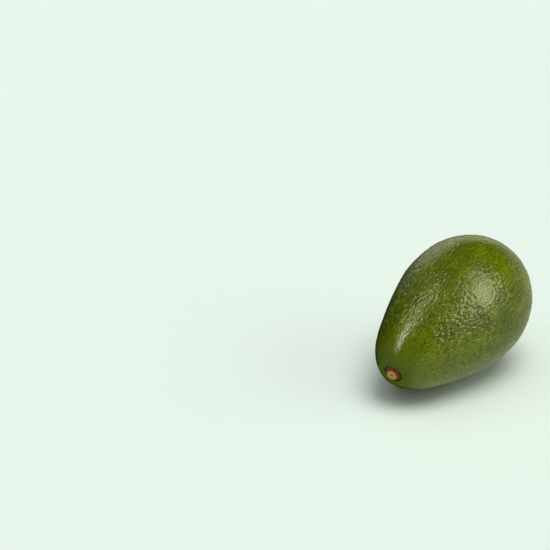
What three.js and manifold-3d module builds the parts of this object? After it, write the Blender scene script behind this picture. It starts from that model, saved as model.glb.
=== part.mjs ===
// An avocado lying on its side: a long, full, egg-shaped fruit with leathery pebbled skin, and the
// cut-off piece of stalk that stays in its stem end. Millimetres, +Z up. The origin is the middle
// of the small flat spot that the fruit rests on, and +X points to the stem end.

import * as THREE from 'three';
import { ImprovedNoise } from 'three/addons/math/ImprovedNoise.js';
import { mergeVertices } from 'three/addons/utils/BufferGeometryUtils.js';
import Module from 'manifold-3d';

// Body. With the angle a measured at the middle, from the blossom end (0) to the stem end (pi),
// x = -cos(a) * LENGTH / 2 and the radius is sin(a) * MEAN_RADIUS * (1 + the four terms below).
const LENGTH = 110;
const MEAN_RADIUS = 34.5;
const TAPER = 0.171; // times cos(a): the stem half is slimmer than the blossom half
const END_FULLNESS = 0.039; // times cos(2a): both ends are blunter than an ellipse
const SHOULDER_FULLNESS = -0.046; // times cos(3a): the sides run straight towards the stem end
const MIDDLE_FULLNESS = 0.013; // times cos(4a)
const SIDE_BOW = -1.1; // both ends lean this far to one side of the middle
const DOWN_BOW = -0.2; // and this far down

// Skin. The relief is drawn larger than life, as rounded pebbles between narrow creases.
const PEBBLE_SIZE = 4.8;
const PEBBLE_STRETCH = 1.45; // pebbles are longer along the fruit
const PEBBLE_HEIGHT = 1.5; // per unit of noise, of which about a third is used
const PEBBLE_MEAN = 0.2; // mean of the noise, so that the relief doesn't swell the fruit
const SMOOTH_NECK = 9; // no pebbles this near to the stem end
const FULL_PEBBLES = 30; // all of their height from here on
const SMOOTH_REST = 7; // no pebbles this near to the middle of the flat spot
const FULL_PEBBLES_AT_REST = 16;
const SKIN_DETAIL = 22; // splits of each of the icosahedron's twenty faces

// Stem end: a shallow dimple in a low swelling of the skin, with a round socket in it. It sits a
// little off the fruit's axis and faces to one side.
const STEM_PLACE = new THREE.Vector3(1, 0.031, -0.018).normalize(); // seen from the body's middle
const STEM_TURN = THREE.MathUtils.degToRad(7.7);
const DIMPLE_DEPTH = 1.3;
const DIMPLE_RADIUS = 5;
const SWELLING_HEIGHT = 0.5;
const SWELLING_RADIUS = 8; // of its crest
const SWELLING_WIDTH = 4;
const SOCKET_RADIUS = 4.75;
const SOCKET_DEPTH = 1.9; // below the dimple's floor
const SOCKET_MOUTH = 6; // the cut reaches this far above the dimple's floor
const SOCKET_SIDES = 40;

// Blossom end: the faint dent round the scar that the flower left.
const BLOSSOM_DENT_DEPTH = 0.5;
const BLOSSOM_DENT_RADIUS = 3.2;

// Stem button, measured from the floor of the dimple along the stem's own axis.
const BUTTON_GAP = 0.35; // between the button and the walls and floor of the socket
const BUTTON_FOOT_BEVEL = 0.6;
const BUTTON_RIM_RISE = 0.55;
const BUTTON_RIM_BEVEL = 0.4;
const BUTTON_RISE = 1.95; // of the cut end face
const BUTTON_FACE_RADIUS = 2.95;
const BUTTON_FACE_BEVEL = 0.3;
const PITH_RADIUS = 0.55; // of the small pit in the middle of the cut end face
const PITH_FLOOR_RADIUS = 0.3;
const PITH_DEPTH = 0.35;
const RIM_KNOBS = 11; // round the flared rim, with notches between them
const RIM_NOTCH_DEPTH = 0.35;
const BUTTON_SIDES = 66;

// Rest. The fruit lies where its weight is over the flat spot, with the stem end low.
const REST_TILT = THREE.MathUtils.degToRad(12.2);
const FLAT_DEPTH = 0.3; // how much of the round underside the flat spot takes off
const REST_SEARCH_STEPS = 2000;

const MERGE_DISTANCE = 1e-4; // corners nearer than this are one corner

const skinMaterial = new THREE.MeshStandardMaterial({ color: 0x4f6512, roughness: 0.4, metalness: 0 });
const woodMaterial = new THREE.MeshStandardMaterial({ color: 0x8a5a2c, roughness: 0.9, metalness: 0 });

const wasm = await Module();
wasm.setup();
const noise = new ImprovedNoise();
const stemAxis = new THREE.Vector3(Math.cos(STEM_TURN), Math.sin(STEM_TURN), 0);

// The same surface with positions alone, and one corner where several meet.
function joinCorners(geometry) {
  geometry.deleteAttribute('normal');
  geometry.deleteAttribute('uv');
  return mergeVertices(geometry, MERGE_DISTANCE);
}

function toSolid(geometry) {
  const merged = joinCorners(geometry);
  return new wasm.Manifold(new wasm.Mesh({
    numProp: 3,
    vertProperties: new Float32Array(merged.attributes.position.array),
    triVerts: new Uint32Array(merged.index.array),
  }));
}

function toGeometry(solid) {
  const mesh = solid.getMesh();
  const geometry = new THREE.BufferGeometry();
  geometry.setAttribute('position', new THREE.BufferAttribute(mesh.vertProperties, 3));
  geometry.setIndex(new THREE.BufferAttribute(mesh.triVerts, 1));
  geometry.computeVertexNormals();
  return geometry;
}

// The smooth body's point in a direction from its middle, before any relief.
function bodyPoint(direction) {
  const angle = Math.acos(THREE.MathUtils.clamp(-direction.x, -1, 1));
  const radius = MEAN_RADIUS * (1
    + TAPER * Math.cos(angle)
    + END_FULLNESS * Math.cos(2 * angle)
    + SHOULDER_FULLNESS * Math.cos(3 * angle)
    + MIDDLE_FULLNESS * Math.cos(4 * angle));
  const lean = direction.x * direction.x;
  return new THREE.Vector3(
    direction.x * LENGTH / 2,
    direction.y * radius + SIDE_BOW * lean,
    direction.z * radius + DOWN_BOW * lean,
  );
}

const stemEnd = bodyPoint(STEM_PLACE);
const blossomAxis = new THREE.Vector3(-1, 0, 0);
const blossomEnd = bodyPoint(blossomAxis);

// The lowest point of the smooth body once it is tilted, found along its underside.
function findRestPoint(tilting) {
  let lowest = new THREE.Vector3(0, 0, Infinity);
  for (let step = 1; step < REST_SEARCH_STEPS; step += 1) {
    const angle = (step / REST_SEARCH_STEPS) * Math.PI;
    const point = bodyPoint(new THREE.Vector3(-Math.cos(angle), 0, -Math.sin(angle)));
    point.applyMatrix4(tilting);
    if (point.z < lowest.z) lowest = point;
  }
  return lowest;
}

const tilt = new THREE.Matrix4().makeRotationY(REST_TILT);
const restPoint = findRestPoint(tilt);
const placing = new THREE.Matrix4()
  .makeTranslation(-restPoint.x, -restPoint.y, -restPoint.z - FLAT_DEPTH)
  .multiply(tilt);
const restPointOnFruit = restPoint.clone().applyMatrix4(tilt.clone().invert());

// Height of the pebbled skin at a point of the smooth body: the noise crosses zero along winding
// lines, so its absolute value is rounded pebbles between narrow creases.
function pebbleHeight(point) {
  const along = point.x / (PEBBLE_SIZE * PEBBLE_STRETCH);
  const across = point.y / PEBBLE_SIZE;
  const up = point.z / PEBBLE_SIZE;
  const pebbles = Math.abs(noise.noise(along, across, up));
  const neck = THREE.MathUtils.smoothstep(point.distanceTo(stemEnd), SMOOTH_NECK, FULL_PEBBLES);
  const rest = THREE.MathUtils.smoothstep(
    point.distanceTo(restPointOnFruit), SMOOTH_REST, FULL_PEBBLES_AT_REST);
  return PEBBLE_HEIGHT * (pebbles - PEBBLE_MEAN) * neck * rest;
}

function distanceFromAxis(point, centre, axis) {
  const reach = point.clone().sub(centre);
  return reach.addScaledVector(axis, -reach.dot(axis)).length();
}

// A smooth hill round an axis, 1 high, with its crest at a distance from the axis.
function hill(distance, crest, width) {
  return Math.exp(-(((distance - crest) / width) ** 2));
}

// Height of the skin round the stem: the low swelling and the dimple in it.
function stemEndHeight(point) {
  const distance = distanceFromAxis(point, stemEnd, stemAxis);
  return SWELLING_HEIGHT * hill(distance, SWELLING_RADIUS, SWELLING_WIDTH)
    - DIMPLE_DEPTH * hill(distance, 0, DIMPLE_RADIUS);
}

function blossomEndHeight(point) {
  const distance = distanceFromAxis(point, blossomEnd, blossomAxis);
  return -BLOSSOM_DENT_DEPTH * hill(distance, 0, BLOSSOM_DENT_RADIUS);
}

function skinGeometry() {
  const skin = joinCorners(new THREE.IcosahedronGeometry(1, SKIN_DETAIL));
  const position = skin.attributes.position;
  const point = new THREE.Vector3();
  for (let i = 0; i < position.count; i += 1) {
    point.fromBufferAttribute(position, i).normalize();
    position.setXYZ(i, ...bodyPoint(point));
  }
  skin.computeVertexNormals();
  const normal = new THREE.Vector3();
  for (let i = 0; i < position.count; i += 1) {
    point.fromBufferAttribute(position, i);
    normal.fromBufferAttribute(skin.attributes.normal, i);
    const relief = pebbleHeight(point);
    const towardsStem = point.x > 0;
    const endAxis = towardsStem ? stemAxis : blossomAxis;
    const endHeight = towardsStem ? stemEndHeight(point) : blossomEndHeight(point);
    point.addScaledVector(normal, relief).addScaledVector(endAxis, endHeight);
    position.setXYZ(i, ...point);
  }
  return skin;
}

// Turns a shape made along +Y so that it stands on the dimple's floor and looks along the stem.
function standOnStem(geometry) {
  const turn = new THREE.Quaternion().setFromUnitVectors(new THREE.Vector3(0, 1, 0), stemAxis);
  const floor = stemEnd.clone().addScaledVector(stemAxis, -DIMPLE_DEPTH);
  return geometry.applyQuaternion(turn).translate(floor.x, floor.y, floor.z);
}

function socketGeometry() {
  const height = SOCKET_DEPTH + SOCKET_MOUTH;
  const socket = new THREE.CylinderGeometry(SOCKET_RADIUS, SOCKET_RADIUS, height, SOCKET_SIDES);
  socket.translate(0, height / 2 - SOCKET_DEPTH, 0);
  return standOnStem(socket);
}

function fruitGeometry() {
  const hollowed = toSolid(skinGeometry()).subtract(toSolid(socketGeometry()));
  const lying = toGeometry(hollowed).applyMatrix4(placing);
  const ground = new THREE.BoxGeometry(2 * LENGTH, 2 * LENGTH, LENGTH);
  ground.translate(0, 0, -LENGTH / 2);
  return toGeometry(toSolid(lying).subtract(toSolid(ground)));
}

// The button's half outline, from the middle of its foot to the middle of its cut end face.
function buttonOutline() {
  const foot = BUTTON_GAP - SOCKET_DEPTH;
  const baseRadius = SOCKET_RADIUS - BUTTON_GAP;
  const points = [
    [0, foot],
    [baseRadius - BUTTON_FOOT_BEVEL, foot],
    [baseRadius, foot + BUTTON_FOOT_BEVEL],
    [baseRadius, BUTTON_RIM_RISE - BUTTON_RIM_BEVEL],
    [baseRadius - BUTTON_RIM_BEVEL, BUTTON_RIM_RISE],
    [BUTTON_FACE_RADIUS, BUTTON_RISE - BUTTON_FACE_BEVEL],
    [BUTTON_FACE_RADIUS - BUTTON_FACE_BEVEL, BUTTON_RISE],
    [PITH_RADIUS, BUTTON_RISE],
    [PITH_FLOOR_RADIUS, BUTTON_RISE - PITH_DEPTH],
    [0, BUTTON_RISE - PITH_DEPTH],
  ];
  return points.map(([radius, height]) => new THREE.Vector2(radius, height));
}

// The rim is drawn in between its knobs, above the socket only.
function buttonGeometry() {
  const button = new THREE.LatheGeometry(buttonOutline(), BUTTON_SIDES);
  const position = button.attributes.position;
  const point = new THREE.Vector3();
  for (let i = 0; i < position.count; i += 1) {
    point.fromBufferAttribute(position, i);
    const radius = Math.hypot(point.x, point.z);
    if (radius > BUTTON_FACE_RADIUS && point.y > 0) {
      const around = Math.atan2(point.z, point.x);
      const notch = RIM_NOTCH_DEPTH * Math.sin(around * RIM_KNOBS / 2) ** 2;
      const shrink = (radius - notch) / radius;
      position.setXYZ(i, point.x * shrink, point.y, point.z * shrink);
    }
  }
  return toGeometry(toSolid(standOnStem(button)));
}

const fruit = new THREE.Mesh(fruitGeometry(), skinMaterial);
fruit.name = 'fruit';

const stemButton = new THREE.Mesh(buttonGeometry(), woodMaterial);
stemButton.name = 'stem_button';
const stemButtonPlace = new THREE.Group();
stemButtonPlace.applyMatrix4(placing);
stemButtonPlace.add(stemButton);

const avocado = new THREE.Group();
avocado.add(fruit, stemButtonPlace);

export default avocado;
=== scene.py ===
import math

import bpy
import numpy as np
from mathutils import Matrix, Vector


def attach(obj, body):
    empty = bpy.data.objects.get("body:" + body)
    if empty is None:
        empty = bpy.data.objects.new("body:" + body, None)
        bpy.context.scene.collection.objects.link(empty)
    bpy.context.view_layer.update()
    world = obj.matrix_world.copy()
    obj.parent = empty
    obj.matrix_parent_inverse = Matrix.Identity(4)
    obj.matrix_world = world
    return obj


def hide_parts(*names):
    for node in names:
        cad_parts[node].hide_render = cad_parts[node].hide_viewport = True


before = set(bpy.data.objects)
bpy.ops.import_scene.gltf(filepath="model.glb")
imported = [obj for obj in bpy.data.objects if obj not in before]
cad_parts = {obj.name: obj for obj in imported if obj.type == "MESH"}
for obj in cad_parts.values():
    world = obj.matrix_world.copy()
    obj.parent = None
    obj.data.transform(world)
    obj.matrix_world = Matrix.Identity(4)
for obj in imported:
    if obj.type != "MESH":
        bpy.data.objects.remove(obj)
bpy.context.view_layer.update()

# Fruit: one whole avocado, picked green and uncut, a firm body in a thin leathery skin, grown in
# one piece. It is a long egg, slimmer and smoother towards the end where its stalk was, and it
# lies on a small flat spot with that end low.
FRUIT_LENGTH = 0.110
FRUIT_MEAN_RADIUS = 0.0345
FRUIT_TAPER = 0.171
FRUIT_END_FULLNESS = 0.039
FRUIT_SHOULDER_FULLNESS = -0.046
FRUIT_MIDDLE_FULLNESS = 0.013
FRUIT_SIDE_BOW = -0.0011
FRUIT_DOWN_BOW = -0.0002
FRUIT_TILT = math.radians(12.2)
FLAT_SPOT_DEPTH = 0.0003
OUTLINE_STEPS = 76
SPIN_STEPS = 130
UNDERSIDE_POINTS = 2001
FINER_CUTS = 2
MERGE_DISTANCE = 1e-6
CUT_DISTANCE = 1e-7
SKIN_EDGE_ANGLE = math.radians(50)

STEM_PLACE = Vector((1, 0.031, -0.018)).normalized()
STEM_TURN = math.radians(7.7)
DIMPLE_DEPTH = 0.0013
DIMPLE_RADIUS = 0.005
COLLAR_HEIGHT = 0.0005
COLLAR_RADIUS = 0.008
COLLAR_WIDTH = 0.004
BLOSSOM_DENT_DEPTH = 0.0005
BLOSSOM_DENT_RADIUS = 0.0032


def body_radius(angle):
    """Radius of the smooth body at an angle from the blossom end, 0, to the stem end, pi."""
    return FRUIT_MEAN_RADIUS * np.sin(angle) * (
        1
        + FRUIT_TAPER * np.cos(angle)
        + FRUIT_END_FULLNESS * np.cos(2 * angle)
        + FRUIT_SHOULDER_FULLNESS * np.cos(3 * angle)
        + FRUIT_MIDDLE_FULLNESS * np.cos(4 * angle)
    )


def bowed(places):
    """The same points with both ends of the fruit leaning a little to one side and down."""
    lean = (2 * places[:, 0] / FRUIT_LENGTH) ** 2
    return places + np.outer(lean, (0, FRUIT_SIDE_BOW, FRUIT_DOWN_BOW))


def body_points(angles, around):
    """Points of the bowed body at those angles along it and at one angle round its axis."""
    radii = body_radius(angles)
    return bowed(np.stack([
        -np.cos(angles) * FRUIT_LENGTH / 2,
        radii * math.cos(around),
        radii * math.sin(around),
    ], axis=1))


def read_places(mesh):
    places = np.empty(3 * len(mesh.vertices))
    mesh.vertices.foreach_get("co", places)
    return places.reshape(-1, 3)


def write_places(mesh, places):
    mesh.vertices.foreach_set("co", places.ravel())
    mesh.update()


stem_angle = math.acos(-STEM_PLACE.x)
stem_end = body_points(np.array([stem_angle]), math.atan2(STEM_PLACE.z, STEM_PLACE.y))[0]
stem_axis = np.array([math.cos(STEM_TURN), math.sin(STEM_TURN), 0])
blossom_end = body_points(np.array([0]), 0)[0]
blossom_axis = np.array([-1, 0, 0])

tilting = Matrix.Rotation(FRUIT_TILT, 4, "Y")
underside = body_points(np.linspace(0, math.pi, UNDERSIDE_POINTS), -math.pi / 2)
lowest = min((tilting @ Vector(point) for point in underside), key=lambda point: point.z)
lying = Matrix.Translation((-lowest.x, -lowest.y, -lowest.z - FLAT_SPOT_DEPTH)) @ tilting
rest_place = np.array(tilting.inverted() @ lowest)

# The body is a half circle shaped into the fruit's outline and spun round its long axis.
bpy.ops.object.select_all(action="DESELECT")
bpy.ops.mesh.primitive_circle_add(vertices=2 * OUTLINE_STEPS, radius=1)
fruit = bpy.context.object
fruit.name = "avocado_skin"
bpy.ops.object.mode_set(mode="EDIT")
bpy.ops.mesh.select_all(action="DESELECT")
bpy.ops.object.mode_set(mode="OBJECT")
for vertex in fruit.data.vertices:
    vertex.select = vertex.co.y < -MERGE_DISTANCE
bpy.ops.object.mode_set(mode="EDIT")
bpy.ops.mesh.delete(type="VERT")
bpy.ops.object.mode_set(mode="OBJECT")
arc = read_places(fruit.data)
angles = np.arctan2(arc[:, 1].clip(0), -arc[:, 0])
arc[:, 0] = -np.cos(angles) * FRUIT_LENGTH / 2
arc[:, 1] = body_radius(angles)
write_places(fruit.data, arc)
bpy.ops.object.mode_set(mode="EDIT")
bpy.ops.mesh.select_all(action="SELECT")
bpy.ops.mesh.spin(steps=SPIN_STEPS, angle=2 * math.pi, center=(0, 0, 0), axis=(1, 0, 0))
bpy.ops.mesh.select_all(action="SELECT")
bpy.ops.mesh.remove_doubles(threshold=MERGE_DISTANCE)
bpy.ops.mesh.normals_make_consistent(inside=False)
bpy.ops.mesh.subdivide(number_cuts=FINER_CUTS)
bpy.ops.object.mode_set(mode="OBJECT")
places = read_places(fruit.data)
angles = np.arccos((-2 * places[:, 0] / FRUIT_LENGTH).clip(-1, 1))
from_axis = np.hypot(places[:, 1], places[:, 2])
places[:, 1:] *= (body_radius(angles) / from_axis.clip(MERGE_DISTANCE))[:, None]
write_places(fruit.data, bowed(places))

# The relief of the skin, coarse to fine, fades out round the stalk and at the flat spot. It is
# gentler along one low ridge near the top and on one shoulder beside it.
NECK_SMOOTH = 0.008
NECK_PEBBLED = 0.036
REST_SMOOTH = 0.006
REST_PEBBLED = 0.014
RIDGE_SIDE = (0, 0.3, 0.954)
RIDGE_EDGE = 0.88
RIDGE_CREST = 0.975
RIDGE_SMOOTHING = 0.42
SHOULDER_PLACE = (0.002, 0.0243, 0.0225)
SHOULDER_EDGE = 0.011
SHOULDER_CORE = 0.002
SHOULDER_SMOOTHING = 0.5
WEIGHT_STEPS = 60
SWELL_SPACING = 0.010
SWELL_HEIGHT = 0.0004
PEBBLE_SPACING = 0.0020
PEBBLE_HEIGHT = 0.00040
WRINKLE_SPACING = 0.0012
WRINKLE_HEIGHT = 0.00022


def fade(distances, low, high):
    """Shares that go smoothly from 0 at the low distance to 1 at the high one."""
    share = ((distances - low) / (high - low)).clip(0, 1)
    return share * share * (3 - 2 * share)


places = read_places(fruit.data)
weights = (
    fade(np.linalg.norm(places - stem_end, axis=1), NECK_SMOOTH, NECK_PEBBLED)
    * fade(np.linalg.norm(places - rest_place, axis=1), REST_SMOOTH, REST_PEBBLED)
)
from_axis = np.hypot(places[:, 1], places[:, 2]).clip(MERGE_DISTANCE)
weights *= 1 - RIDGE_SMOOTHING * fade(places @ RIDGE_SIDE / from_axis, RIDGE_EDGE, RIDGE_CREST)
from_shoulder = np.linalg.norm(places - SHOULDER_PLACE, axis=1)
weights *= 1 - SHOULDER_SMOOTHING * fade(from_shoulder, SHOULDER_EDGE, SHOULDER_CORE)
pebbling = fruit.data.attributes.new("pebbling", "FLOAT", "POINT")
pebbling.data.foreach_set("value", weights)
pebbled = fruit.vertex_groups.new(name="pebbled")
levels = np.rint(weights * WEIGHT_STEPS).astype(int)
for level in range(1, WEIGHT_STEPS + 1):
    pebbled.add(np.flatnonzero(levels == level).tolist(), level / WEIGHT_STEPS, "REPLACE")


def raise_skin(name, kind, spacing, height, stretch, middle, turn=(0, 0, 0), **settings):
    """Raises the skin along its normals by a texture with that spacing, in metres."""
    texture = bpy.data.textures.new(name, kind)
    texture.noise_scale = 1
    for key, value in settings.items():
        setattr(texture, key, value)
    holder = bpy.data.objects.new(name, None)
    bpy.context.scene.collection.objects.link(holder)
    holder.rotation_euler = turn
    holder.scale = (spacing * stretch, spacing, spacing)
    bpy.context.view_layer.update()
    modifier = fruit.modifiers.new(name, "DISPLACE")
    modifier.texture = texture
    modifier.texture_coords = "OBJECT"
    modifier.texture_coords_object = holder
    modifier.direction = "NORMAL"
    modifier.strength = height
    modifier.mid_level = middle
    modifier.vertex_group = "pebbled"
    bpy.ops.object.modifier_apply(modifier=name)
    bpy.data.objects.remove(holder)
    bpy.data.textures.remove(texture)


smooth_places = read_places(fruit.data)
smooth_normals = np.empty(3 * len(smooth_places))
fruit.data.vertices.foreach_get("normal", smooth_normals)
smooth_normals = smooth_normals.reshape(-1, 3)
raise_skin(
    "skin_swells", "CLOUDS", SWELL_SPACING, SWELL_HEIGHT, stretch=1.3, middle=0.5, noise_depth=1)
raise_skin(
    "skin_pebbles", "VORONOI", PEBBLE_SPACING, PEBBLE_HEIGHT, stretch=1.5, middle=0.17,
    weight_1=-1.0, weight_2=1.0, noise_intensity=1.0)
raise_skin(
    "skin_wrinkles", "CLOUDS", WRINKLE_SPACING, WRINKLE_HEIGHT, stretch=1.6, middle=0.5,
    turn=(0.4, 0.2, 0.1), noise_depth=1, noise_type="HARD_NOISE")
rise = ((read_places(fruit.data) - smooth_places) * smooth_normals).sum(axis=1)
relief = fruit.data.attributes.new("relief", "FLOAT", "POINT")
relief.data.foreach_set("value", rise)


def hill(distances, crest, width):
    """Heights of a round hill or ridge, 1 at its crest."""
    return np.exp(-(((distances - crest) / width) ** 2))


def distances_from_axis(places, centre, axis):
    reach = places - centre
    return np.linalg.norm(reach - np.outer(reach @ axis, axis), axis=1)


# The stalk sat in a shallow dimple with a low collar round it, and the blossom left a small dent.
places = read_places(fruit.data)
at_stem = places[:, 0] > 0
distances = distances_from_axis(places, stem_end, stem_axis)
rise = (
    COLLAR_HEIGHT * hill(distances, COLLAR_RADIUS, COLLAR_WIDTH)
    - DIMPLE_DEPTH * hill(distances, 0, DIMPLE_RADIUS)
)
places += np.outer(rise * at_stem, stem_axis)
distances = distances_from_axis(places, blossom_end, blossom_axis)
dent = BLOSSOM_DENT_DEPTH * hill(distances, 0, BLOSSOM_DENT_RADIUS)
places -= np.outer(dent * ~at_stem, blossom_axis)
write_places(fruit.data, places)

SOCKET_RADIUS = 0.0048
SOCKET_DEPTH = 0.0019
SOCKET_MOUTH = 0.006
SOCKET_SIDES = 96
stem_floor = Vector(stem_end - stem_axis * DIMPLE_DEPTH)
stem_turning = Vector(stem_axis).to_track_quat("Z", "Y").to_matrix().to_4x4()
stem_stand = Matrix.Translation(stem_floor) @ stem_turning
bpy.ops.object.select_all(action="DESELECT")
bpy.ops.mesh.primitive_cylinder_add(
    vertices=SOCKET_SIDES, radius=SOCKET_RADIUS, depth=SOCKET_DEPTH + SOCKET_MOUTH,
    location=(0, 0, (SOCKET_MOUTH - SOCKET_DEPTH) / 2))
socket_cutter = bpy.context.object
bpy.ops.object.transform_apply(location=True)
socket_cutter.data.transform(stem_stand)
bpy.ops.object.select_all(action="DESELECT")
bpy.context.view_layer.objects.active = fruit
fruit.select_set(True)
cut = fruit.modifiers.new("socket", "BOOLEAN")
cut.operation = "DIFFERENCE"
cut.object = socket_cutter
cut.solver = "MANIFOLD"
bpy.ops.object.modifier_apply(modifier="socket")
bpy.data.objects.remove(socket_cutter)

fruit.data.transform(lying)
bpy.ops.object.mode_set(mode="EDIT")
bpy.ops.mesh.select_all(action="SELECT")
bpy.ops.mesh.bisect(
    plane_co=(0, 0, 0), plane_no=(0, 0, 1), use_fill=True, clear_inner=True,
    threshold=CUT_DISTANCE)
bpy.ops.object.mode_set(mode="OBJECT")
bpy.ops.object.shade_smooth_by_angle(angle=SKIN_EDGE_ANGLE)


def add_node(tree, kind, inputs=(), **settings):
    """A node of that kind; inputs are (socket, value or output) pairs."""
    node = tree.nodes.new(kind)
    for key, value in settings.items():
        setattr(node, key, value)
    for socket, value in inputs:
        if isinstance(value, bpy.types.NodeSocket):
            tree.links.new(value, node.inputs[socket])
        else:
            node.inputs[socket].default_value = value
    return node


def map_range(tree, value, low, high, out_low=0, out_high=1):
    """Turns low..high into out_low..out_high, smoothly, and holds it there outside."""
    return add_node(tree, "ShaderNodeMapRange", [
        ("Value", value), ("From Min", low), ("From Max", high),
        ("To Min", out_low), ("To Max", out_high)], interpolation_type="SMOOTHSTEP").outputs[0]


def blend_colors(tree, share, first, second):
    """The first colour at a share of 0 and the second at 1; they are a Mix node's inputs 6 and 7."""
    return add_node(
        tree, "ShaderNodeMix", [(0, share), (6, first), (7, second)], data_type="RGBA").outputs[2]


def number_math(tree, operation, first, second):
    return add_node(tree, "ShaderNodeMath", [(0, first), (1, second)], operation=operation).outputs[0]


def multiply(tree, first, second):
    return number_math(tree, "MULTIPLY", first, second)


def vector_math(tree, operation, *inputs):
    """The result of the operation: a number for a distance, a length or a dot product."""
    gives_number = operation in ("DISTANCE", "LENGTH", "DOT_PRODUCT")
    node = add_node(tree, "ShaderNodeVectorMath", enumerate(inputs), operation=operation)
    return node.outputs["Value" if gives_number else "Vector"]


def draw_out(tree, place, amounts):
    """The same place shortened by those amounts, which draws a pattern out along it."""
    return add_node(tree, "ShaderNodeMapping", [("Vector", place), ("Scale", amounts)]).outputs[0]


def noise(tree, place, scale, detail, roughness=0.5):
    return add_node(tree, "ShaderNodeTexNoise", [
        ("Vector", place), ("Scale", scale), ("Detail", detail), ("Roughness", roughness)])


def bump(tree, height, strength, depth, under=None, invert=False):
    """The skin's normals with that relief of that depth in metres on what lies under it."""
    inputs = [("Height", height), ("Strength", strength), ("Distance", depth)]
    if under is not None:
        inputs.append(("Normal", under))
    return add_node(tree, "ShaderNodeBump", inputs, invert=invert).outputs[0]


# The finish of the skin, with painted shade: darker green on its -Y side, in the hollows of its
# relief and in the socket round the stalk. A scale is in repeats a metre, a depth or a reach in
# metres. Relief too fine for the mesh is bump: lines from the stalk, grain, and creases between
# warped cells.
DEEP_GREEN = (0.040, 0.062, 0.0003, 1)
LEAF_GREEN = (0.136, 0.186, 0.0006, 1)
YELLOW_GREEN = (0.235, 0.300, 0.006, 1)
PAINTED_SHADE_GREEN = (0.038, 0.060, 0.0005, 1)
SCAR_BROWN = (0.11, 0.075, 0.028, 1)
NECK_GREEN = (0.105, 0.152, 0.016, 1)
SOCKET_PAINTED_SHADE = (0.010, 0.014, 0.001, 1)
SPECK_GREEN = (0.52, 0.58, 0.14, 1)
PAINTED_SHADE_SIDE = (0, -1, 0)
PATTERN_STRETCH = (0.5, 1, 1)
LINE_STRETCH = (0.14, 1, 1)
PATCH_SCALE = 70
MOTTLE_SCALE = 1300
LINE_SCALE = 1100
SPECK_SCALE = 600
SPECK_CORE = 0.06
SPECK_EDGE = 0.17
GLOSS_SCALE = 260
GRAIN_SCALE = 1500
CREASE_SCALE = 680
WARP_SCALE = 380
WARP_REACH = 0.0016
LINE_DEPTH = 0.00009
GRAIN_DEPTH = 0.00016
CREASE_DEPTH = 0.0003
LINES_BEGIN = 0.006
LINES_FULL = 0.012
LINES_FADE = 0.035
LINES_FAINT = 0.09
NECK_GREEN_FULL = 0.006
NECK_GREEN_END = 0.024
SPECKS_BEGIN = 0.010
SPECKS_FULL = 0.022
HOLLOW = -0.0002
CREST = 0.00012
SOCKET_EDGE = 0.00015
SOCKET_REACH = 0.008
SOCKET_REACH_END = 0.010
SCAR_RADIUS = 0.0008
SCAR_EDGE = 0.0014
GLOSSY = 0.12
DULLER = 0.20

skin = bpy.data.materials.new("avocado_skin")
skin.use_nodes = True
tree = skin.node_tree
shader = tree.nodes["Principled BSDF"]
along_fruit = add_node(tree, "ShaderNodeMapping", [
    ("Vector", add_node(tree, "ShaderNodeTexCoord").outputs["Object"]),
    ("Location", lying.inverted().translation),
    ("Rotation", (0, -FRUIT_TILT, 0))]).outputs[0]
stretched = draw_out(tree, along_fruit, PATTERN_STRETCH)
from_stem = vector_math(tree, "DISTANCE", along_fruit, tuple(stem_end))
from_blossom = vector_math(tree, "DISTANCE", along_fruit, tuple(blossom_end))

patches = noise(tree, along_fruit, PATCH_SCALE, 3).outputs["Fac"]
mottle = noise(tree, stretched, MOTTLE_SCALE, 3, 0.65).outputs["Fac"]
lines = noise(tree, draw_out(tree, along_fruit, LINE_STRETCH), LINE_SCALE, 2).outputs["Fac"]
raised = add_node(tree, "ShaderNodeAttribute", attribute_name="relief").outputs["Fac"]
around_axis = vector_math(tree, "NORMALIZE", vector_math(tree, "MULTIPLY", along_fruit, (0, 1, 1)))
toward_painted_shade = vector_math(tree, "DOT_PRODUCT", around_axis, PAINTED_SHADE_SIDE)

specks = add_node(tree, "ShaderNodeTexVoronoi", [("Vector", along_fruit), ("Scale", SPECK_SCALE)])
chance = add_node(tree, "ShaderNodeSeparateColor", [("Color", specks.outputs["Color"])]).outputs[0]
speck = multiply(
    tree, map_range(tree, specks.outputs["Distance"], SPECK_CORE, SPECK_EDGE, 1, 0),
    map_range(tree, chance, 0.1, 0.6))
speck = multiply(tree, speck, map_range(tree, from_stem, SPECKS_BEGIN, SPECKS_FULL))

# The wall of the socket round the stalk: it gets painted shade, near black, and a matt finish.
beside_stem = vector_math(tree, "SUBTRACT", along_fruit, tuple(stem_end))
off_axis = vector_math(
    tree, "LENGTH", vector_math(tree, "CROSS_PRODUCT", beside_stem, tuple(stem_axis)))
at_socket = multiply(
    tree, map_range(tree, off_axis, SOCKET_RADIUS, SOCKET_RADIUS + SOCKET_EDGE, 1, 0),
    map_range(tree, from_stem, SOCKET_REACH, SOCKET_REACH_END, 1, 0))

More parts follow.
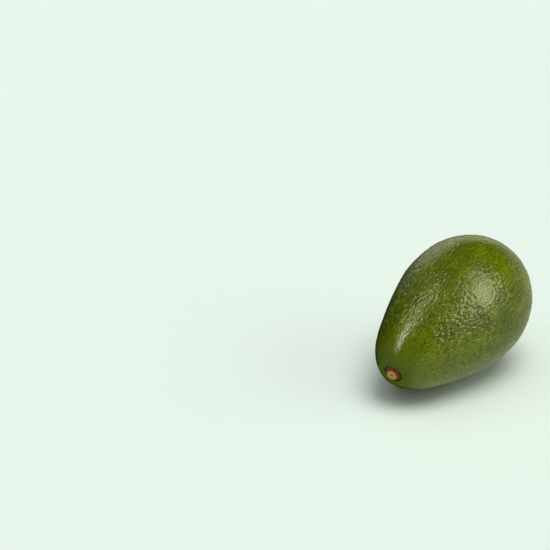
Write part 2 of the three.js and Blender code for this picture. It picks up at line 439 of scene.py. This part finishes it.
# Each layer covers its share of the skin: a value, the range that it goes through, and the share
# at both ends of that range.
color = blend_colors(tree, map_range(tree, patches, 0.3, 0.7, 1, 0.86), DEEP_GREEN, LEAF_GREEN)
for share, tint in (
    # painted shade: the skin turns darker green towards its -Y side, standing in for shade there
    (map_range(tree, toward_painted_shade, 0.1, 0.62, 0, 0.75), PAINTED_SHADE_GREEN),
    (map_range(tree, mottle, 0.50, 0.62, 0, 0.5), YELLOW_GREEN),
    (map_range(tree, mottle, 0.49, 0.36, 0, 0.75), DEEP_GREEN),
    (map_range(tree, lines, 0.52, 0.68, 0, 0.5), DEEP_GREEN),
    (map_range(tree, lines, 0.48, 0.32, 0, 0.5), YELLOW_GREEN),
    # painted shade: the hollows of the relief are darker green, the crests keep their colour
    (map_range(tree, raised, HOLLOW, CREST, 0.7, 0), DEEP_GREEN),
    (map_range(tree, from_stem, NECK_GREEN_FULL, NECK_GREEN_END, 0.85, 0), NECK_GREEN),
    (speck, SPECK_GREEN),
    # painted shade: the socket wall round the stalk is near black
    (at_socket, SOCKET_PAINTED_SHADE),
    (map_range(tree, from_blossom, SCAR_RADIUS, SCAR_EDGE, 1, 0), SCAR_BROWN),
):
    color = blend_colors(tree, share, color, tint)
tree.links.new(color, shader.inputs["Base Color"])

gloss = noise(tree, along_fruit, GLOSS_SCALE, 3).outputs["Fac"]
dull = number_math(tree, "MAXIMUM", at_socket, map_range(tree, gloss, 0.3, 0.7, GLOSSY, DULLER))
tree.links.new(dull, shader.inputs["Roughness"])
shader.inputs["Specular IOR Level"].default_value = 0.6
shader.inputs["Specular Tint"].default_value = (1, 0.96, 0.8, 1)

near_stem = multiply(
    tree, map_range(tree, from_stem, LINES_BEGIN, LINES_FULL),
    map_range(tree, from_stem, LINES_FADE, LINES_FAINT, 1, 0.2))
roughened = add_node(tree, "ShaderNodeAttribute", attribute_name="pebbling").outputs["Fac"]
roughened = map_range(tree, roughened, 0, 1, 0.1, 1)
grain = noise(tree, stretched, GRAIN_SCALE, 2).outputs["Fac"]
warp = noise(tree, stretched, WARP_SCALE, 2).outputs["Color"]
warped = vector_math(tree, "MULTIPLY_ADD", warp, (WARP_REACH, WARP_REACH, WARP_REACH), stretched)
cells = add_node(tree, "ShaderNodeTexVoronoi", [("Vector", warped), ("Scale", CREASE_SCALE)])
creases = number_math(tree, "POWER", cells.outputs["Distance"], 2)
normals = bump(tree, lines, near_stem, LINE_DEPTH)
normals = bump(tree, grain, roughened, GRAIN_DEPTH, normals)
normals = bump(tree, creases, roughened, CREASE_DEPTH, normals, invert=True)
tree.links.new(normals, shader.inputs["Normal"])
fruit.data.materials.clear()
fruit.data.materials.append(skin)
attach(fruit, "root")
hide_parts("fruit")

# Stem button: the cut-off end of the stalk, dry and woody. It grew into the fruit's stem end and
# stays seated in its round socket, with a knobbly flared rim, a tapered side and a paler cut face.
BUTTON_FOOT = -0.00155
BUTTON_RADIUS = 0.0044
BUTTON_FOOT_EDGE = 0.0006
BUTTON_RIM_RISE = 0.00055
BUTTON_RISE = 0.00195
BUTTON_FACE_RADIUS = 0.00295
PITH_RADIUS = 0.00055
PITH_DEPTH = 0.00035
BUTTON_SIDES = 132
BUTTON_EDGE_ANGLE = math.radians(40)
RIM_KNOBS = 11
RIM_NOTCH_DEPTH = 0.00035
FACE_WAVE_HEIGHT = 0.00012
FACE_WAVE_BEGIN = 0.001
FACE_WAVE_FULL = 0.003
# Radius and height of each ring, from the foot up over the rim and in to the pith.
BUTTON_RINGS = (
    (BUTTON_RADIUS, BUTTON_FOOT + BUTTON_FOOT_EDGE),
    (BUTTON_RADIUS, BUTTON_RIM_RISE - 0.0008),
    (BUTTON_RADIUS, BUTTON_RIM_RISE - 0.0004),
    (BUTTON_RADIUS - 0.0001, BUTTON_RIM_RISE - 0.00015),
    (BUTTON_RADIUS - 0.0004, BUTTON_RIM_RISE),
    (BUTTON_RADIUS - 0.0007, BUTTON_RIM_RISE + 0.00015),
    (BUTTON_RADIUS - 0.001, BUTTON_RIM_RISE + 0.00055),
    (BUTTON_FACE_RADIUS + 0.0001, BUTTON_RISE - 0.0004),
    (BUTTON_FACE_RADIUS, BUTTON_RISE - 0.0002),
    (BUTTON_FACE_RADIUS - 0.0001, BUTTON_RISE - 0.00005),
    (BUTTON_FACE_RADIUS - 0.0003, BUTTON_RISE),
    (BUTTON_FACE_RADIUS - 0.0006, BUTTON_RISE - 0.00002),
    (0.0019, BUTTON_RISE - 0.00008),
    (0.0014, BUTTON_RISE - 0.00008),
    (0.0009, BUTTON_RISE - 0.00003),
    (PITH_RADIUS, BUTTON_RISE - 0.00005),
    (PITH_RADIUS * 0.8, BUTTON_RISE - 0.0002),
    (PITH_RADIUS * 0.5, BUTTON_RISE - PITH_DEPTH),
)
bpy.ops.object.select_all(action="DESELECT")
bpy.ops.mesh.primitive_circle_add(
    vertices=BUTTON_SIDES, radius=BUTTON_RADIUS - BUTTON_FOOT_EDGE, fill_type="NGON",
    location=(0, 0, BUTTON_FOOT))
button = bpy.context.object
button.name = "avocado_stem_button"
bpy.ops.object.transform_apply(location=True)
bpy.ops.object.mode_set(mode="EDIT")
bpy.ops.mesh.select_all(action="SELECT")
ring_radius, ring_height = BUTTON_RADIUS - BUTTON_FOOT_EDGE, BUTTON_FOOT
for radius, height in BUTTON_RINGS:
    bpy.ops.mesh.extrude_region_move(TRANSFORM_OT_translate={"value": (0, 0, height - ring_height)})
    grow = radius / ring_radius
    bpy.ops.transform.resize(value=(grow, grow, 1), center_override=(0, 0, height))
    ring_radius, ring_height = radius, height
bpy.ops.mesh.select_all(action="SELECT")
bpy.ops.mesh.normals_make_consistent(inside=False)
bpy.ops.object.mode_set(mode="OBJECT")

# Uneven notches part the knobs of the rim, and the cut face is a little wavy.
places = read_places(button.data)
radii = np.hypot(places[:, 0], places[:, 1])
around = np.arctan2(places[:, 1], places[:, 0])
rim = fade(radii, BUTTON_FACE_RADIUS, BUTTON_RADIUS) * (places[:, 2] > 0)
uneven = np.sin(around * RIM_KNOBS / 2) ** 2 * (1 + 0.3 * np.sin(3 * around + 1))
notch = rim * RIM_NOTCH_DEPTH * uneven
places[:, :2] *= (1 - notch / radii.clip(MERGE_DISTANCE))[:, None]
wave = fade(radii, FACE_WAVE_BEGIN, FACE_WAVE_FULL) * np.sin(2 * around + 0.6)
on_top = places[:, 2] > BUTTON_RISE / 2
places[:, 2] += FACE_WAVE_HEIGHT * wave * on_top
write_places(button.data, places)
button.data.transform(lying @ stem_stand)
bpy.ops.object.shade_smooth_by_angle(angle=BUTTON_EDGE_ANGLE)

DARK_BARK = (0.075, 0.020, 0.005, 1)
RED_BARK = (0.270, 0.085, 0.022, 1)
GREY_BARK = (0.42, 0.24, 0.12, 1)
CUT_WOOD = (0.64, 0.36, 0.11, 1)
PITH_BROWN = (0.12, 0.04, 0.01, 1)
WOOD_GRAIN_SCALE = 1400
WOOD_GRAIN_DEPTH = 0.00015
GREY_BEGIN = 0.0036
GREY_FULL = 0.0043
FACE_EDGE = 0.0004
PITH_STAIN_CORE = 0.00035
PITH_STAIN_EDGE = 0.0007
wood = bpy.data.materials.new("avocado_stalk_wood")
wood.use_nodes = True
tree = wood.node_tree
shader = tree.nodes["Principled BSDF"]
button_frame = (lying @ stem_stand).inverted()
along_stalk = add_node(tree, "ShaderNodeMapping", [
    ("Vector", add_node(tree, "ShaderNodeTexCoord").outputs["Object"]),
    ("Location", button_frame.translation),
    ("Rotation", button_frame.to_euler())]).outputs[0]
from_pith = vector_math(tree, "LENGTH", vector_math(tree, "MULTIPLY", along_stalk, (1, 1, 0)))
grain = noise(tree, along_stalk, WOOD_GRAIN_SCALE, 4).outputs["Fac"]
greyed = multiply(
    tree, map_range(tree, from_pith, GREY_BEGIN, GREY_FULL), map_range(tree, grain, 0.45, 0.6))
bark = blend_colors(tree, map_range(tree, grain, 0.38, 0.66), DARK_BARK, RED_BARK)
bark = blend_colors(tree, greyed, bark, GREY_BARK)
stained = map_range(tree, from_pith, PITH_STAIN_CORE, PITH_STAIN_EDGE, 1, 0)
face = blend_colors(tree, map_range(tree, grain, 0.35, 0.7, 0, 0.6), CUT_WOOD, RED_BARK)
face = blend_colors(tree, stained, face, PITH_BROWN)
on_face = map_range(tree, from_pith, BUTTON_FACE_RADIUS - FACE_EDGE, BUTTON_FACE_RADIUS, 1, 0)
tree.links.new(blend_colors(tree, on_face, bark, face), shader.inputs["Base Color"])
shader.inputs["Roughness"].default_value = 0.8
shader.inputs["Specular IOR Level"].default_value = 0.15
tree.links.new(bump(tree, grain, 1, WOOD_GRAIN_DEPTH), shader.inputs["Normal"])
button.data.materials.clear()
button.data.materials.append(wood)
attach(button, "root")
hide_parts("stem_button")

# Studio: a wide level floor with pale matt paint, and soft lamps above it. The camera stands
# where the photograph was taken from.
CAMERA_PLACE = Vector((0.6405, 0.3856, 0.4052))
CAMERA_AIM = Vector((-0.0321, -0.1491, -0.0006))
CAMERA_LENS = 101.26
FLOOR_SIZE = 200
FLOOR_COLOR = (0.80, 0.905, 0.815, 1)
camera_data = bpy.data.cameras.new("camera")
camera_data.sensor_width = 36
camera_data.lens = CAMERA_LENS
camera = bpy.data.objects.new("camera", camera_data)
bpy.context.scene.collection.objects.link(camera)
camera.location = CAMERA_PLACE
camera.rotation_euler = (CAMERA_AIM - CAMERA_PLACE).to_track_quat("-Z", "Y").to_euler()
bpy.context.scene.camera = camera
bpy.context.scene.view_settings.view_transform = "Standard"

bpy.ops.object.select_all(action="DESELECT")
bpy.ops.mesh.primitive_plane_add(size=FLOOR_SIZE)
floor = bpy.context.object
floor.name = "floor"
floor.visible_glossy = False
paint = bpy.data.materials.new("floor_paint")
paint.use_nodes = True
shader = paint.node_tree.nodes["Principled BSDF"]
shader.inputs["Base Color"].default_value = FLOOR_COLOR
shader.inputs["Roughness"].default_value = 0.9
shader.inputs["Specular IOR Level"].default_value = 0.0
floor.data.materials.append(paint)

# Past its edge the floor goes on as an even backdrop. What the skin mirrors besides the lamps is
# a pale floor on one side and a pale wall behind.
BACKDROP_COLOR = (0.807, 0.913, 0.823, 1)
GLOW_COLOR = (0.98, 1, 0.78, 1)
PALE_SIDE = (-0.6, 0.8, 0)
BEHIND = (-0.8, -0.6, 0)
FLOOR_GLOW = 0.56
WALL_GLOW = 1.1
world = bpy.data.worlds.new("studio")
bpy.context.scene.world = world
world.use_nodes = True
world.cycles_visibility.diffuse = False
tree = world.node_tree
direction = add_node(tree, "ShaderNodeTexCoord").outputs["Generated"]
height = add_node(tree, "ShaderNodeSeparateXYZ", [("Vector", direction)]).outputs["Z"]
side = vector_math(tree, "DOT_PRODUCT", direction, PALE_SIDE)
behind = vector_math(tree, "DOT_PRODUCT", direction, BEHIND)
floor_glow = multiply(
    tree, map_range(tree, side, 0, 0.35, 0, FLOOR_GLOW), map_range(tree, height, 0.45, -0.1))
wall_glow = multiply(
    tree, map_range(tree, behind, 0.86, 0.99, 0, WALL_GLOW), map_range(tree, height, -0.2, 0.05))
wall_glow = multiply(tree, wall_glow, map_range(tree, height, 0.42, 0.15))
mirrored = tree.nodes["Background"]
mirrored.inputs["Color"].default_value = GLOW_COLOR
tree.links.new(number_math(tree, "MAXIMUM", floor_glow, wall_glow), mirrored.inputs["Strength"])
backdrop = add_node(tree, "ShaderNodeBackground", [("Color", BACKDROP_COLOR)])
seen = add_node(tree, "ShaderNodeMixShader", [
    (0, add_node(tree, "ShaderNodeLightPath").outputs["Is Camera Ray"]),
    (1, mirrored.outputs[0]), (2, backdrop.outputs[0])])
tree.links.new(seen.outputs[0], tree.nodes["World Output"].inputs["Surface"])

# Some lamps light the surfaces evenly, and the oval ones show only as highlights on the skin.
LAMP_DISTANCE = 6
LAMP_AIM = Vector((0.01, 0.01, 0.045))
LAMP_COLOR = (1.0, 0.98, 0.9)
ACROSS_FRUIT = Vector((-0.03, -0.73, 0.68))
ALONG_RIDGE = Vector((0.71, 0.0, -0.44))
ALONG_BACK = Vector((-0.8, 0.5, 0))


def add_fill(name, direction, spread, strength):
    """Even light from far off in that direction, for the shading and the soft shadows."""
    data = bpy.data.lights.new(name, "SUN")
    data.energy = strength
    data.angle = math.radians(spread)
    lamp = bpy.data.objects.new(name, data)
    bpy.context.scene.collection.objects.link(lamp)
    lamp.rotation_euler = (-direction).to_track_quat("-Z", "Y").to_euler()
    lamp.visible_glossy = False


def add_softbox(name, direction, long_axis, width, length, power):
    """An oval lamp that shows as a highlight on the skin, its length along long_axis."""
    data = bpy.data.lights.new(name, "AREA")
    data.shape = "ELLIPSE"
    data.size = width
    data.size_y = length
    data.energy = power
    data.color = LAMP_COLOR
    lamp = bpy.data.objects.new(name, data)
    bpy.context.scene.collection.objects.link(lamp)
    back = direction.normalized()
    up = (long_axis - back * long_axis.dot(back)).normalized()
    turn = Matrix((up.cross(back), up, back)).transposed().to_4x4()
    lamp.matrix_world = Matrix.Translation(LAMP_AIM + back * LAMP_DISTANCE) @ turn
    lamp.visible_diffuse = False


add_fill("key_fill", Vector((-0.02, 0.22, 0.97)), spread=40, strength=1.4)
add_fill("ceiling_fill", Vector((0.0, 0.0, 1.0)), spread=80, strength=0.85)
add_fill("room_fill", Vector((-0.10, 0.25, 0.95)), spread=170, strength=0.75)
add_fill("side_fill", Vector((-0.50, 0.86, 0.05)), spread=80, strength=1.4)
add_softbox("key_softbox", Vector((-0.21, 0.67, 0.71)), ACROSS_FRUIT, width=3.4, length=6.6, power=172)
add_softbox("key_core", Vector((-0.19, 0.77, 0.60)), ACROSS_FRUIT, width=2.6, length=3.6, power=40)
add_softbox("strip_light", Vector((0.500, -0.335, 0.79)), ALONG_RIDGE, width=0.6, length=7.0, power=160)
add_softbox("back_panel", Vector((-0.52, -0.79, 0.39)), ALONG_BACK, width=2.8, length=3.2, power=14)
